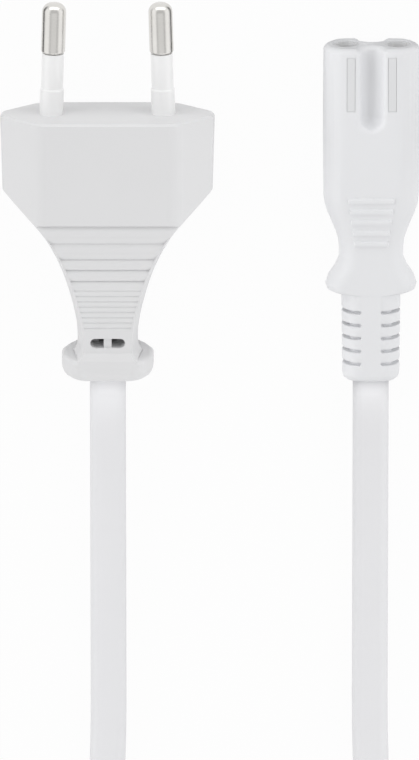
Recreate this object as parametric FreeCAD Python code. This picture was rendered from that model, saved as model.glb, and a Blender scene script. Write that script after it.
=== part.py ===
# A flat two-core mains lead: a figure eight connector at one end, a flat two-pin plug at
# the other, and the cord between them with its spare length wound into a coil.
# Millimetres, +Z up. The lead lies on the plane z = 0. The connector lies along Y and
# centred on the origin, with its sockets facing +Y; the plug lies beside it at -X.
import FreeCAD, Part
import math
import os

from FreeCAD import Vector

# Cord: flat sheath over two round insulated cores
SHEATH_WIDTH = 6.0
SHEATH_THICKNESS = 3.55
SHEATH_EDGE_RADIUS = 1.5
CORE_RADIUS = 1.0
CORE_SPACING = 2.6
COPPER_RADIUS = 0.55

# Connector: distances along it are measured back from the front face
CONNECTOR_LENGTH = 58.0
CONNECTOR_WIDTH = 16.1
CONNECTOR_GRIP_WIDTH = 15.9
CONNECTOR_THICKNESS = 8.0
CONNECTOR_TAPER_START = 15.5
CONNECTOR_STRAIGHT = 25.9
CONNECTOR_FRONT_RADIUS = 0.9
SOCKET_SPACING = 8.6
GROOVE_RADIUS = 1.85
GROOVE_DEPTH = 2.35
GROOVE_LIP_RADIUS = 1.0
GROOVE_END = 13.8
WAIST_WIDTH = 10.7
WAIST_START = 35.0
WAIST_END = 36.5
WING_WIDTH = 15.2
WING_AT = 41.3
WING_END = 43.4
WING_END_WIDTH = 10.2
WING_THICKNESS = 6.9
WING_REAR_ANGLES = (30, 55, 76)
WAIST_STEPS = 10
GRIP_BAR_FIRST = 26.1
GRIP_BAR_PITCH = 1.86
GRIP_BAR_COUNT = 5
GRIP_BAR_LENGTH = 0.85
GRIP_BAR_HEIGHT = 0.2
GRIP_BAR_FIRST_WIDTH = 7.7
GRIP_BAR_LAST_WIDTH = 5.8
BOOT_FRONT_WIDTH = 9.9
BOOT_REAR_WIDTH = 9.55
BOOT_FRONT_THICKNESS = 6.8
BOOT_REAR_THICKNESS = 6.4
BOOT_END_RADIUS = 1.2
BOOT_END_ANGLES = (0, 35, 65, 90)
BOOT_SLOT_FIRST = 45.7
BOOT_SLOT_PITCH = 2.25
BOOT_SLOT_COUNT = 5
BOOT_SLOT_LENGTH = 0.65
BOOT_SPINE_WIDTH = 3.2
BOOT_CORE_WALL = 0.55

# Contact carrier and contacts inside the connector
NOSE_RADIUS = 2.27
NOSE_RECESS = 0.15
MOUTH_RADIUS = 1.65
MOUTH_DEPTH = 2.0
WEB_START = 14.8
WEB_END = 20.0
RIB_OFFSET = 3.42
RIB_WIDTH = 1.4
RIB_START = 1.4
RIB_END = 10.7
RIB_RECESS = 0.05
RIB_ROOT = 1.7
CONTACT_BORE_RADIUS = 1.2
CONTACT_WALL = 0.35
CONTACT_SLEEVE_LENGTH = 10.3
CONTACT_LEAD_IN = 0.3
CONTACT_RIM = 0.1
CONTACT_SLIT = 0.5
CONTACT_SLIT_LENGTH = 8.5
BARREL_LENGTH = 5.5
STRIP_GAP = 0.3
CONNECTOR_CORE_STRAIGHT = 3.5
CONNECTOR_CORE_JOIN = 32.5
CONNECTOR_SHEATH_START = 36.5

# Plug: distances along it are measured back from the pin face
PLUG_OFFSET_X = -43.8
PLUG_FACE_Y = 17.8
PLUG_LENGTH = 45.0
PLUG_WIDTH = 35.6
PLUG_THICKNESS = 13.7
PLUG_FLAT_WIDTH = 22.6
PLUG_FLAT_RADIUS = 4.0
PLUG_SIDE_HEIGHT = 2.6
PLUG_SIDE_RADIUS = 0.3
PLUG_SHOULDER_WIDTH = 34.9
PLUG_SHOULDER_AT = 13.2
PLUG_SHOULDER_RADIUS = 1.0
PLUG_SHOULDER_SLIDE = 0.4
PLUG_FACE_CHAMFER = 0.4
PLUG_WALL_LEAN = 1.2
NECK_WIDTH = 10.15
NECK_THICKNESS = 11.6
NECK_TAPER_START = 17.2
NECK_AT = 37.0
NECK_FLARE = 1.8
NECK_FLARE_SINK = 0.2
NECK_RAMP_LENGTH = 1.3
FLANGE_WIDTH = 15.3
FLANGE_THICKNESS = 13.1
FLANGE_FLAT_WIDTH = 11.6
FLANGE_SIDE_HEIGHT = 4.2
FLANGE_START = 41.2
FLANGE_CORNER_RADIUS = 2.4
FLANGE_REAR_DEPTH = 2.4
FLANGE_REAR_ANGLES = (0, 20, 40, 60, 80)
FLANGE_SIDE_TRIM = 1.5
FLANGE_TOP_TRIM = 1.8
# Half widths of the taper between shoulder and neck, each with its distance from the face
PLUG_TAPER = [(14.5, 16.6), (11.55, 20.1), (9.2, 23.8), (7.3, 28.0), (5.95, 32.4)]
COARSE_RIBS = [17.8, 20.8, 23.6, 25.45, 27.4]
FINE_RIB_FIRST = 29.03
FINE_RIB_PITCH = 0.934
FINE_RIB_COUNT = 8
COARSE_RIB_DEPTH = 0.5
FINE_RIB_DEPTH = 0.22
RIB_PANEL_MARGIN = 0.12
RIB_LEAD = 0.3
WINDOW_AT = 38.2
WINDOW_WIDTH = 5.8
WINDOW_LENGTH = 1.65
WINDOW_BAR_WIDTH = 1.3
WINDOW_BAR_RECESS = 0.3

# Pins, their sleeves and the bridge inside the plug
PIN_SPACING_FACE = 18.6
PIN_SPACING_TIP = 17.5
PIN_LENGTH = 19.0
PIN_RADIUS = 2.0
PIN_DOME_RADIUS = 1.5
PIN_BARE_LENGTH = 9.0
PIN_WAIST_RADIUS = 1.45
SLEEVE_RADIUS = 1.83
COLLAR_RADIUS = 1.98
COLLAR_LENGTH = 4.4
BRIDGE_START = 3.0
BRIDGE_LENGTH = 4.0
BRIDGE_WIDTH = 25.0
BRIDGE_THICKNESS = 6.5
PIN_FLANGE_RADIUS = 2.2
PIN_FLANGE_LENGTH = 1.0
CUP_RADIUS = 1.6
CUP_LENGTH = 5.0
CUP_DEPTH = 4.0
PLUG_CORE_STRAIGHT = 3.0
PLUG_CORE_JOIN = 31.0
PLUG_SHEATH_START = 35.0

# Coil of the put-away length: the sheath on edge, in two layers
COIL_LAYERS = 2
COIL_OUTER_TURN_RADIUS = 36.2
COIL_INNER_TURN_RADIUS = 24.2
COIL_EDGE_CHAMFER = 1.0
COIL_CENTRE_Y = -150.0

# Places that follow from the sizes above
FRONT_Y = CONNECTOR_LENGTH / 2
CONNECTOR_AXIS_Z = CONNECTOR_THICKNESS / 2
PLUG_AXIS_Z = PLUG_THICKNESS / 2
PLUG_REAR_Y = PLUG_FACE_Y - PLUG_LENGTH
SLEEVE_OUTER_RADIUS = CONTACT_BORE_RADIUS + CONTACT_WALL
SHOULDER_AT = MOUTH_DEPTH + CONTACT_SLEEVE_LENGTH
BARREL_END = SHOULDER_AT + BARREL_LENGTH
PIN_LEAN = math.degrees(math.atan((PIN_SPACING_FACE - PIN_SPACING_TIP) / 2 / PIN_LENGTH))

# Routes of the two cord runs, chosen by hand, from the housing to the coil
CONNECTOR_ROUTE = [
    Vector(0.0, -29.0, 4.0),
    Vector(0.0, -42.0, 4.0),
    Vector(0.0, -68.0, 1.775),
    Vector(0.0, -104.0, 1.775),
    Vector(3.9, -122.1, 1.775),
]
PLUG_ROUTE = [
    Vector(-43.8, -27.2, 6.85),
    Vector(-43.8, -41.0, 6.85),
    Vector(-43.8, -69.0, 1.775),
    Vector(-43.8, -104.0, 1.775),
    Vector(-47.7, -122.1, 1.775),
]

AXIS_X = Vector(1, 0, 0)
AXIS_Y = Vector(0, 1, 0)
AXIS_Z = Vector(0, 0, 1)
BACK = Vector(0, -1, 0)
PAST = 1.0
SAME = 1e-6


def smooth_step(position, start, end):
    share = min(max((position - start) / (end - start), 0.0), 1.0)
    return share * share * (3 - 2 * share)


def line(first, second):
    return Part.LineSegment(first, second).toShape()


def arc(first, middle, last):
    return Part.Arc(first, middle, last).toShape()


def corner_arc(corner, towards_start, towards_end, radius):
    # The arc of the given radius that rounds a corner between two straight directions
    first = Vector(towards_start).normalize()
    last = Vector(towards_end).normalize()
    half = first.getAngle(last) / 2
    setback = radius / math.tan(half)
    inward = (first + last).normalize()
    middle = corner + inward * (radius / math.sin(half) - radius)
    return corner + first * setback, middle, corner + last * setback


def rounded_polygon(corners, radii):
    # A closed wire through the corners, each rounded by its own radius
    count = len(corners)
    arcs = []
    for i in range(count):
        before = corners[i - 1] - corners[i]
        after = corners[(i + 1) % count] - corners[i]
        arcs.append(corner_arc(corners[i], before, after, radii[i]))
    edges = []
    for i in range(count):
        first, middle, last = arcs[i]
        edges.append(arc(first, middle, last))
        following = arcs[(i + 1) % count][0]
        if last.distanceToPoint(following) > SAME:
            edges.append(line(last, following))
    return Part.Wire(edges)


def stadium(x, y, z, width, height):
    # Two half circles joined by level lines, in the plane across Y
    radius = height / 2
    reach = width / 2 - radius
    top = z + radius
    foot = z - radius
    return Part.Wire([
        line(Vector(x - reach, y, top), Vector(x + reach, y, top)),
        arc(Vector(x + reach, y, top), Vector(x + width / 2, y, z), Vector(x + reach, y, foot)),
        line(Vector(x + reach, y, foot), Vector(x - reach, y, foot)),
        arc(Vector(x - reach, y, foot), Vector(x - width / 2, y, z), Vector(x - reach, y, top)),
    ])


def rounded_rectangle(x, y, z, width, height, radius):
    corners = [
        Vector(x - width / 2, y, z - height / 2),
        Vector(x + width / 2, y, z - height / 2),
        Vector(x + width / 2, y, z + height / 2),
        Vector(x - width / 2, y, z + height / 2),
    ]
    return rounded_polygon(corners, [radius] * len(corners))


def six_sided(x, y, z, width, flat_width, thickness, side_height, soft_radius, side_radius):
    # Flat top and bottom, sloping shoulders and short upright sides, in the plane across Y
    right = [
        (flat_width / 2, thickness / 2, soft_radius),
        (width / 2, side_height / 2, side_radius),
        (width / 2, -side_height / 2, side_radius),
        (flat_width / 2, -thickness / 2, soft_radius),
    ]
    left = [(-across, up, radius) for across, up, radius in reversed(right)]
    outline = right + left
    corners = [Vector(x + across, y, z + up) for across, up, radius in outline]
    return rounded_polygon(corners, [radius for across, up, radius in outline])


def extrude(wire, direction):
    return Part.Face(wire).extrude(direction)


def box_between(low, high):
    size = high - low
    return Part.makeBox(size.x, size.y, size.z, low)


def cylinder_back(x, y, z, radius, length):
    # A cylinder from the given point towards -Y
    return Part.makeCylinder(radius, length, Vector(x, y, z), BACK)


def mirrored(shape, middle_x):
    return shape.mirror(Vector(middle_x, 0, 0), AXIS_X)


def upside_down(shape, middle_z):
    return shape.mirror(Vector(0, 0, middle_z), AXIS_Z)


def rounded_path(points, share=0.45):
    # Straight runs joined by tangent arcs, each as large as its two runs allow
    edges = []
    radii = []
    start = points[0]
    for i in range(1, len(points) - 1):
        before = points[i] - points[i - 1]
        after = points[i + 1] - points[i]
        setback = share * min(before.Length, after.Length)
        turn = before.getAngle(after)
        radius = setback / math.tan(turn / 2)
        first, middle, last = corner_arc(points[i], before * -1, after, radius)
        edges.append(line(start, first))
        edges.append(arc(first, middle, last))
        radii.append(radius)
        start = last
    edges.append(line(start, points[-1]))
    return Part.Wire(edges), radii


def swept(path, section):
    return path.makePipeShell([section], True, False)


def mitred(points, section):
    # Straight runs whose ends meet at a mitre
    right_corner = 1
    return Part.makePolygon(points).makePipeShell([section], True, False, right_corner)


def round_section(at, direction, radius):
    return Part.Wire(Part.makeCircle(radius, at, direction))


def at_connector(distance):
    return FRONT_Y - distance


def at_plug(distance):
    return PLUG_FACE_Y - distance


# Connector overmould


def connector_half_width(distance):
    front = CONNECTOR_WIDTH / 2
    grip = CONNECTOR_GRIP_WIDTH / 2
    waist = WAIST_WIDTH / 2
    wing = WING_WIDTH / 2
    rear = WING_END_WIDTH / 2
    if distance <= CONNECTOR_STRAIGHT:
        taper = (distance - CONNECTOR_TAPER_START) / (CONNECTOR_STRAIGHT - CONNECTOR_TAPER_START)
        return front + (grip - front) * max(taper, 0.0)
    if distance <= WAIST_START:
        return grip + (waist - grip) * smooth_step(distance, CONNECTOR_STRAIGHT, WAIST_START)
    if distance <= WING_AT:
        return waist + (wing - waist) * smooth_step(distance, WAIST_END, WING_AT)
    share = (distance - WING_AT) / (WING_END - WING_AT)
    return rear + (wing - rear) * math.sqrt(max(1 - share * share, 0.0))


def connector_thickness(distance):
    taper = max(distance - CONNECTOR_TAPER_START, 0.0) / (WING_END - CONNECTOR_TAPER_START)
    return CONNECTOR_THICKNESS + (WING_THICKNESS - CONNECTOR_THICKNESS) * taper


def groove_cutter():
    # One U-shaped groove with rounded lips, closed by the same section turned about Z
    depth_of_centre = GROOVE_DEPTH - GROOVE_RADIUS
    lip = GROOVE_LIP_RADIUS
    reach = GROOVE_RADIUS + lip
    lip_x = math.sqrt(reach ** 2 - (lip - depth_of_centre) ** 2)
    top = CONNECTOR_THICKNESS
    centre = Vector(0, 0, top - depth_of_centre)
    lip_centre = Vector(lip_x, 0, top - lip)
    towards_lip = (lip_centre - centre).normalize()
    tangent = centre + towards_lip * GROOVE_RADIUS
    foot = centre - AXIS_Z * GROOVE_RADIUS
    foot_middle = centre + (towards_lip - AXIS_Z).normalize() * GROOVE_RADIUS
    lip_middle = lip_centre + (AXIS_Z - towards_lip).normalize() * lip
    brim = lip_centre + AXIS_Z * lip
    half = Part.Wire([
        arc(foot, foot_middle, tangent),
        arc(tangent, lip_middle, brim),
        line(brim, brim + AXIS_Z * PAST),
        line(brim + AXIS_Z * PAST, Vector(0, 0, top + PAST)),
        line(Vector(0, 0, top + PAST), foot),
    ])
    end_centre_y = at_connector(GROOVE_END) + GROOVE_RADIUS
    half.translate(Vector(0, end_centre_y, 0))
    right = Part.Face(half)
    turn_centre = Vector(0, end_centre_y, 0)
    rounded_end = right.revolve(turn_centre, AXIS_Z, -180)
    run = Vector(0, FRONT_Y + PAST - end_centre_y, 0)
    channel = right.extrude(run).fuse(mirrored(right, 0).extrude(run))
    return channel.fuse(rounded_end).removeSplitter()


def front_block():
    # The straight part with both grooves, its figure eight front edge rounded
    block = extrude(
        stadium(0, FRONT_Y, CONNECTOR_AXIS_Z, CONNECTOR_WIDTH, CONNECTOR_THICKNESS),
        BACK * CONNECTOR_TAPER_START,
    )
    groove = groove_cutter()
    block = block.cut(groove).cut(upside_down(groove, CONNECTOR_AXIS_Z))
    rim = [edge for edge in block.Edges if abs(edge.BoundBox.YMin - FRONT_Y) < SAME]
    return block.makeFillet(CONNECTOR_FRONT_RADIUS, rim)


def connector_section(distance):
    return stadium(0, at_connector(distance), CONNECTOR_AXIS_Z,
                   2 * connector_half_width(distance), connector_thickness(distance))


def evenly(start, end, steps):
    return [start + (end - start) * i / steps for i in range(steps + 1)]


def waist_and_wings():
    # A plain taper, the waist that swells into the wings, and their rounded rear
    stations = [CONNECTOR_TAPER_START]
    stations += evenly(CONNECTOR_STRAIGHT, WING_AT, WAIST_STEPS)
    stations += [WING_AT + (WING_END - WING_AT) * math.sin(math.radians(angle)) for angle in WING_REAR_ANGLES]
    return Part.makeLoft([connector_section(s) for s in stations], True, True)


def boot():
    # Tapered flat tube with cross slots that leave a spine above and below and an inner core
    sections = [stadium(0, at_connector(WING_AT), CONNECTOR_AXIS_Z, BOOT_FRONT_WIDTH, BOOT_FRONT_THICKNESS)]
    for angle in BOOT_END_ANGLES:
        y = BOOT_END_RADIUS * (1 - math.sin(math.radians(angle))) - FRONT_Y
        trim = 2 * BOOT_END_RADIUS * (1 - math.cos(math.radians(angle)))
        sections.append(stadium(0, y, CONNECTOR_AXIS_Z, BOOT_REAR_WIDTH - trim, BOOT_REAR_THICKNESS - trim))
    shape = Part.makeLoft(sections, True, True)
    core_width = SHEATH_WIDTH + 2 * BOOT_CORE_WALL
    core_height = SHEATH_THICKNESS + 2 * BOOT_CORE_WALL
    core = extrude(
        rounded_rectangle(0, 0, CONNECTOR_AXIS_Z, core_width, core_height, SHEATH_EDGE_RADIUS),
        BACK * FRONT_Y,
    )
    slots = []
    for i in range(BOOT_SLOT_COUNT):
        y = at_connector(BOOT_SLOT_FIRST + i * BOOT_SLOT_PITCH)
        half = BOOT_SLOT_LENGTH / 2
        inner = BOOT_SPINE_WIDTH / 2
        outer = BOOT_FRONT_WIDTH
        foot = CONNECTOR_AXIS_Z - BOOT_FRONT_THICKNESS
        outline = Part.Wire([
            line(Vector(outer, y - half, foot), Vector(inner + half, y - half, foot)),
            arc(Vector(inner + half, y - half, foot), Vector(inner, y, foot),
                Vector(inner + half, y + half, foot)),
            line(Vector(inner + half, y + half, foot), Vector(outer, y + half, foot)),
            line(Vector(outer, y + half, foot), Vector(outer, y - half, foot)),
        ])
        slot = extrude(outline, AXIS_Z * 2 * BOOT_FRONT_THICKNESS).cut(core)
        slots += [slot, mirrored(slot, 0)]
    return shape.cut(Part.makeCompound(slots))


def grip_bars():
    # Raised bars across the waist, above and below
    bars = []
    for i in range(GRIP_BAR_COUNT):
        s = GRIP_BAR_FIRST + i * GRIP_BAR_PITCH
        share = i / (GRIP_BAR_COUNT - 1)
        width = GRIP_BAR_FIRST_WIDTH + (GRIP_BAR_LAST_WIDTH - GRIP_BAR_FIRST_WIDTH) * share
        top = connector_thickness(s) / 2 + GRIP_BAR_HEIGHT
        outline = rounded_rectangle(0, at_connector(s) + GRIP_BAR_LENGTH / 2, CONNECTOR_AXIS_Z,
                                    width, 2 * top, GRIP_BAR_HEIGHT)
        bars.append(extrude(outline, BACK * GRIP_BAR_LENGTH))
    return bars


def connector_outer():
    shape = front_block().fuse([waist_and_wings(), boot()] + grip_bars())
    return shape.removeSplitter()


# Contact carrier, contacts and cores inside the connector


def carrier_outer(past=0.0):
    # Past 0 for the carrier itself, more for the space it leaves open in the overmould
    nose_start = NOSE_RECESS - past
    nose_length = WEB_START - nose_start
    parts = []
    for side in (-1, 1):
        x = side * SOCKET_SPACING / 2
        parts.append(cylinder_back(x, at_connector(nose_start), CONNECTOR_AXIS_Z, NOSE_RADIUS, nose_length))
        rib_x = side * RIB_OFFSET
        for end in (-1, 1):
            root = CONNECTOR_AXIS_Z + end * RIB_ROOT
            tip = CONNECTOR_AXIS_Z + end * (CONNECTOR_THICKNESS / 2 - RIB_RECESS + past)
            parts.append(box_between(
                Vector(rib_x - RIB_WIDTH / 2, at_connector(RIB_END), min(root, tip)),
                Vector(rib_x + RIB_WIDTH / 2, at_connector(RIB_START), max(root, tip)),
            ))
    web_width = SOCKET_SPACING + 2 * NOSE_RADIUS
    web = extrude(
        stadium(0, at_connector(WEB_START), CONNECTOR_AXIS_Z, web_width, 2 * NOSE_RADIUS),
        BACK * (WEB_END - WEB_START),
    )
    return web.fuse(parts).removeSplitter()


def carrier_bores():
    bores = []
    for side in (-1, 1):
        x = side * SOCKET_SPACING / 2
        z = CONNECTOR_AXIS_Z
        bores.append(cylinder_back(x, FRONT_Y, z, MOUTH_RADIUS, MOUTH_DEPTH))
        bores.append(cylinder_back(x, FRONT_Y, z, SLEEVE_OUTER_RADIUS, SHOULDER_AT))
        bores.append(cylinder_back(x, FRONT_Y, z, CORE_RADIUS, WEB_END))
    return bores


def contact():
    # Spun section: lead-in, sleeve, shoulder and crimp barrel, then the slit along the sleeve
    outline = [
        (SLEEVE_OUTER_RADIUS, MOUTH_DEPTH),
        (SLEEVE_OUTER_RADIUS, SHOULDER_AT),
        (CORE_RADIUS, SHOULDER_AT),
        (CORE_RADIUS, BARREL_END),
        (COPPER_RADIUS, BARREL_END),
        (COPPER_RADIUS, SHOULDER_AT + CONTACT_WALL),
        (CONTACT_BORE_RADIUS, SHOULDER_AT - CONTACT_WALL),
        (CONTACT_BORE_RADIUS, MOUTH_DEPTH + CONTACT_LEAD_IN),
        (SLEEVE_OUTER_RADIUS - CONTACT_RIM, MOUTH_DEPTH),
    ]
    corners = [Vector(radius, at_connector(s), 0) for radius, s in outline]
    spun = Part.Face(Part.makePolygon(corners + corners[:1])).revolve(Vector(0, 0, 0), AXIS_Y, 360)
    slit = box_between(
        Vector(0, at_connector(MOUTH_DEPTH + CONTACT_SLIT_LENGTH), -CONTACT_SLIT / 2),
        Vector(2 * SLEEVE_OUTER_RADIUS, FRONT_Y, CONTACT_SLIT / 2),
    )
    shape = spun.cut(slit)
    shape.translate(Vector(SOCKET_SPACING / 2, 0, CONNECTOR_AXIS_Z))
    return shape


def connector_core_points(start):
    # From inside the crimp barrel to the end of the sheath, closing up to the core spacing
    z = CONNECTOR_AXIS_Z
    return [
        Vector(SOCKET_SPACING / 2, at_connector(start), z),
        Vector(SOCKET_SPACING / 2, at_connector(WEB_END + CONNECTOR_CORE_STRAIGHT), z),
        Vector(CORE_SPACING / 2, at_connector(CONNECTOR_CORE_JOIN), z),
        Vector(CORE_SPACING / 2, at_connector(CONNECTOR_SHEATH_START), z),
    ]


def core_solid(points, radius):
    return mitred(points, round_section(points[0], points[1] - points[0], radius))


def connector_core():
    # The copper reaches into the barrel, the insulation stops just behind it
    copper = core_solid(connector_core_points(SHOULDER_AT + CONTACT_WALL), COPPER_RADIUS)
    insulation = core_solid(connector_core_points(BARREL_END + STRIP_GAP), CORE_RADIUS)
    return copper, insulation.cut(copper), insulation


# Plug overmould


def shifted_inwards(outline, inset):
    # Each (half width, distance) point moved square to the line through its neighbours
    moved = []
    last = len(outline) - 1
    for i, (half_width, distance) in enumerate(outline):
        ahead = outline[min(i + 1, last)]
        behind = outline[max(i - 1, 0)]
        along = Vector(ahead[0] - behind[0], ahead[1] - behind[1], 0).normalize()
        inward = Vector(-along.y, along.x, 0)
        keeps_end = i in (0, last)
        slide = inset / abs(along.y) if keeps_end else inset
        if keeps_end:
            moved.append((half_width - slide, distance))
        else:
            moved.append((half_width + inward.x * slide, distance + inward.y * slide))
    return moved


def plug_outline(z, inset=0.0):
    # Plan outline from the face to the flange: straight sides, round shoulders, curved taper
    # and a round flare that ends just inside the flange
    shoulder = (PLUG_SHOULDER_WIDTH / 2, PLUG_SHOULDER_AT)
    flare_end = FLANGE_START + NECK_FLARE_SINK
    neck = [(NECK_WIDTH / 2, NECK_AT), (NECK_WIDTH / 2, flare_end - NECK_FLARE)]
    side = [(PLUG_WIDTH / 2, PLUG_FACE_CHAMFER), shoulder]
    run = PLUG_TAPER + neck
    taper_slope = Vector(run[0][0] - shoulder[0], -(run[0][1] - shoulder[1]), 0)
    side_slope = Vector(side[0][0] - shoulder[0], shoulder[1] - side[0][1], 0)
    run = shifted_inwards(run, inset)
    side = shifted_inwards(side, inset)

    def place(half_width, distance, hand):
        return Vector(PLUG_OFFSET_X + hand * half_width, at_plug(distance), z)

    def half(hand):
        corner = place(shoulder[0] - inset, shoulder[1] - inset * PLUG_SHOULDER_SLIDE, hand)
        back_slope = Vector(hand * side_slope.x, side_slope.y, 0)
        down_slope = Vector(hand * taper_slope.x, taper_slope.y, 0)
        first, middle, last = corner_arc(corner, back_slope, down_slope, PLUG_SHOULDER_RADIUS)
        curve = Part.BSplineCurve()
        curve.interpolate([last] + [place(w, s, hand) for w, s in run])
        neck_width, neck_end = run[-1]
        flared = neck_width + NECK_FLARE
        turn = NECK_FLARE * (1 - math.sqrt(0.5))
        return [
            line(place(side[0][0] - PLUG_FACE_CHAMFER, 0.0, hand), place(side[0][0], side[0][1], hand)),
            line(place(side[0][0], side[0][1], hand), first),
            arc(first, middle, last),
            curve.toShape(),
            arc(place(neck_width, neck_end, hand), place(neck_width + turn, flare_end - turn, hand),
                place(flared, flare_end, hand)),
            line(place(flared, flare_end, hand), place(flared, FLANGE_START + PAST, hand)),
        ]

    face = side[0][0] - PLUG_FACE_CHAMFER
    face_line = line(place(face, 0.0, -1), place(face, 0.0, 1))
    rear = run[-1][0] + NECK_FLARE
    rear_line = line(place(rear, FLANGE_START + PAST, 1), place(rear, FLANGE_START + PAST, -1))
    return Part.Wire([face_line] + half(1) + [rear_line] + list(reversed(half(-1))))


def plug_upper_half():
    # The side walls lean inwards from the parting line up to the top
    parting = plug_outline(PLUG_AXIS_Z)
    return Part.makeLoft([parting, plug_outline(PLUG_THICKNESS, PLUG_WALL_LEAN)], True, True)


def plug_section(distance, inset):
    # The six-sided section, running past the side walls, with all its sides moved in by the inset
    slope = math.atan2(PLUG_THICKNESS - PLUG_SIDE_HEIGHT, PLUG_WIDTH - PLUG_FLAT_WIDTH)
    upright = math.pi / 2 - slope
    flat_width = PLUG_FLAT_WIDTH - 2 * inset * math.tan(slope / 2)
    side_height = PLUG_SIDE_HEIGHT - PAST * math.tan(slope) - 2 * inset * math.tan(upright / 2)
    return six_sided(PLUG_OFFSET_X, at_plug(distance), PLUG_AXIS_Z, PLUG_WIDTH + PAST - 2 * inset, flat_width,
                     PLUG_THICKNESS - 2 * inset, side_height, PLUG_FLAT_RADIUS, PLUG_SIDE_RADIUS)


def plug_main():
    upper = plug_upper_half()
    plan = upper.fuse(upside_down(upper, PLUG_AXIS_Z))
    chamfer = PLUG_FACE_CHAMFER
    sections = [plug_section(0.0, chamfer), plug_section(chamfer, 0.0)]
    sections.append(plug_section(FLANGE_START + PAST, 0.0))
    shape = plan.common(Part.makeLoft(sections, True, True))
    return shape.common(plug_side_profile()).removeSplitter()


def flange():
    # Six-sided end plate, its rear drawn in on an ellipse at the sides and above and below
    stations = [(FLANGE_START, 0.0)]
    for angle in FLANGE_REAR_ANGLES:
        reach = FLANGE_REAR_DEPTH * (1 - math.sin(math.radians(angle)))
        stations.append((PLUG_LENGTH - reach, 1 - math.cos(math.radians(angle))))
    sections = []
    for distance, share in stations:
        side_trim = 2 * FLANGE_SIDE_TRIM * share
        top_trim = 2 * FLANGE_TOP_TRIM * share
        sections.append(six_sided(
            PLUG_OFFSET_X, at_plug(distance), PLUG_AXIS_Z,
            FLANGE_WIDTH - side_trim, FLANGE_FLAT_WIDTH - side_trim, FLANGE_THICKNESS - top_trim,
            FLANGE_SIDE_HEIGHT, FLANGE_CORNER_RADIUS, FLANGE_CORNER_RADIUS))
    return Part.makeLoft(sections, True, True)


def plug_top(distance):
    # Height of the flat upper face above the axis, falling slowly along the neck
    body = PLUG_THICKNESS / 2
    fall = (body - NECK_THICKNESS / 2) / (NECK_AT - NECK_TAPER_START)
    return body - fall * min(max(distance - NECK_TAPER_START, 0.0), NECK_AT - NECK_TAPER_START)


def plug_side_profile():
    # Side view of body and neck with the ramp up to the flange, as a solid right across the plug
    stations = [0.0, NECK_TAPER_START, NECK_AT, FLANGE_START - NECK_RAMP_LENGTH]
    flange_top = FLANGE_THICKNESS / 2
    profile = [(s, plug_top(s)) for s in stations]
    profile += [(FLANGE_START, flange_top), (FLANGE_START + PAST, flange_top)]
    across = PLUG_OFFSET_X - PLUG_WIDTH
    upper = [Vector(across, at_plug(s), PLUG_AXIS_Z + height) for s, height in profile]
    lower = [Vector(across, at_plug(s), PLUG_AXIS_Z - height) for s, height in reversed(profile)]
    outline = upper + lower
    return extrude(Part.makePolygon(outline + outline[:1]), AXIS_X * 2 * PLUG_WIDTH)


def rib_cutter():
    # Scalloped grip on the upper face: round-backed ribs with a sharp notch between each two
    notches = [(s, COARSE_RIB_DEPTH) for s in COARSE_RIBS]
    notches += [(FINE_RIB_FIRST + i * FINE_RIB_PITCH, FINE_RIB_DEPTH) for i in range(FINE_RIB_COUNT)]

    def place(distance, depth):
        return Vector(PLUG_OFFSET_X - PLUG_WIDTH, at_plug(distance), PLUG_AXIS_Z + plug_top(distance) - depth)

    start = notches[0][0] - RIB_LEAD
    end = notches[-1][0] + RIB_LEAD
    above = -PLUG_THICKNESS / 2
    edges = [line(place(start, 0.0), place(*notches[0]))]
    for (notch, depth), (following, following_depth) in zip(notches, notches[1:]):
        crest = place((notch + following) / 2, 0.0)
        edges.append(arc(place(notch, depth), crest, place(following, following_depth)))
    edges.append(line(place(*notches[-1]), place(end, 0.0)))
    edges.append(line(place(end, 0.0), place(end, above)))
    edges.append(line(place(end, above), place(start, above)))
    edges.append(line(place(start, above), place(start, 0.0)))
    saw = extrude(Part.Wire(edges), AXIS_X * 2 * PLUG_WIDTH)
    panel = extrude(plug_outline(PLUG_AXIS_Z, PLUG_WALL_LEAN + RIB_PANEL_MARGIN), AXIS_Z * PLUG_THICKNESS)
    return saw.common(panel)


def window_cutter():
    # Mould window in the neck, open down to the sheath, with a bar left across its middle
    y = at_plug(WINDOW_AT)
    z = PLUG_AXIS_Z + SHEATH_THICKNESS / 2
    height = PLUG_THICKNESS / 2
    radius = WINDOW_LENGTH / 2
    reach = WINDOW_WIDTH / 2 - radius
    x = PLUG_OFFSET_X
    outline = Part.Wire([
        line(Vector(x - reach, y - radius, z), Vector(x + reach, y - radius, z)),
        arc(Vector(x + reach, y - radius, z), Vector(x + WINDOW_WIDTH / 2, y, z),
            Vector(x + reach, y + radius, z)),
        line(Vector(x + reach, y + radius, z), Vector(x - reach, y + radius, z)),
        arc(Vector(x - reach, y + radius, z), Vector(x - WINDOW_WIDTH / 2, y, z),
            Vector(x - reach, y - radius, z)),
    ])
    bar_top = PLUG_AXIS_Z + plug_top(WINDOW_AT) - WINDOW_BAR_RECESS
    bar = box_between(
        Vector(x - WINDOW_BAR_WIDTH / 2, y - WINDOW_LENGTH, z - PAST),
        Vector(x + WINDOW_BAR_WIDTH / 2, y + WINDOW_LENGTH, bar_top),
    )
    return extrude(outline, AXIS_Z * height).cut(bar)


def plug_outer():
    shape = plug_main().fuse(flange()).removeSplitter()
    cutters = []
    for cutter in (rib_cutter(), window_cutter()):
        cutters += [cutter, upside_down(cutter, PLUG_AXIS_Z)]
    return shape.cut(Part.makeCompound(cutters))


# Pins, sleeves, bridge and cores inside the plug


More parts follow.
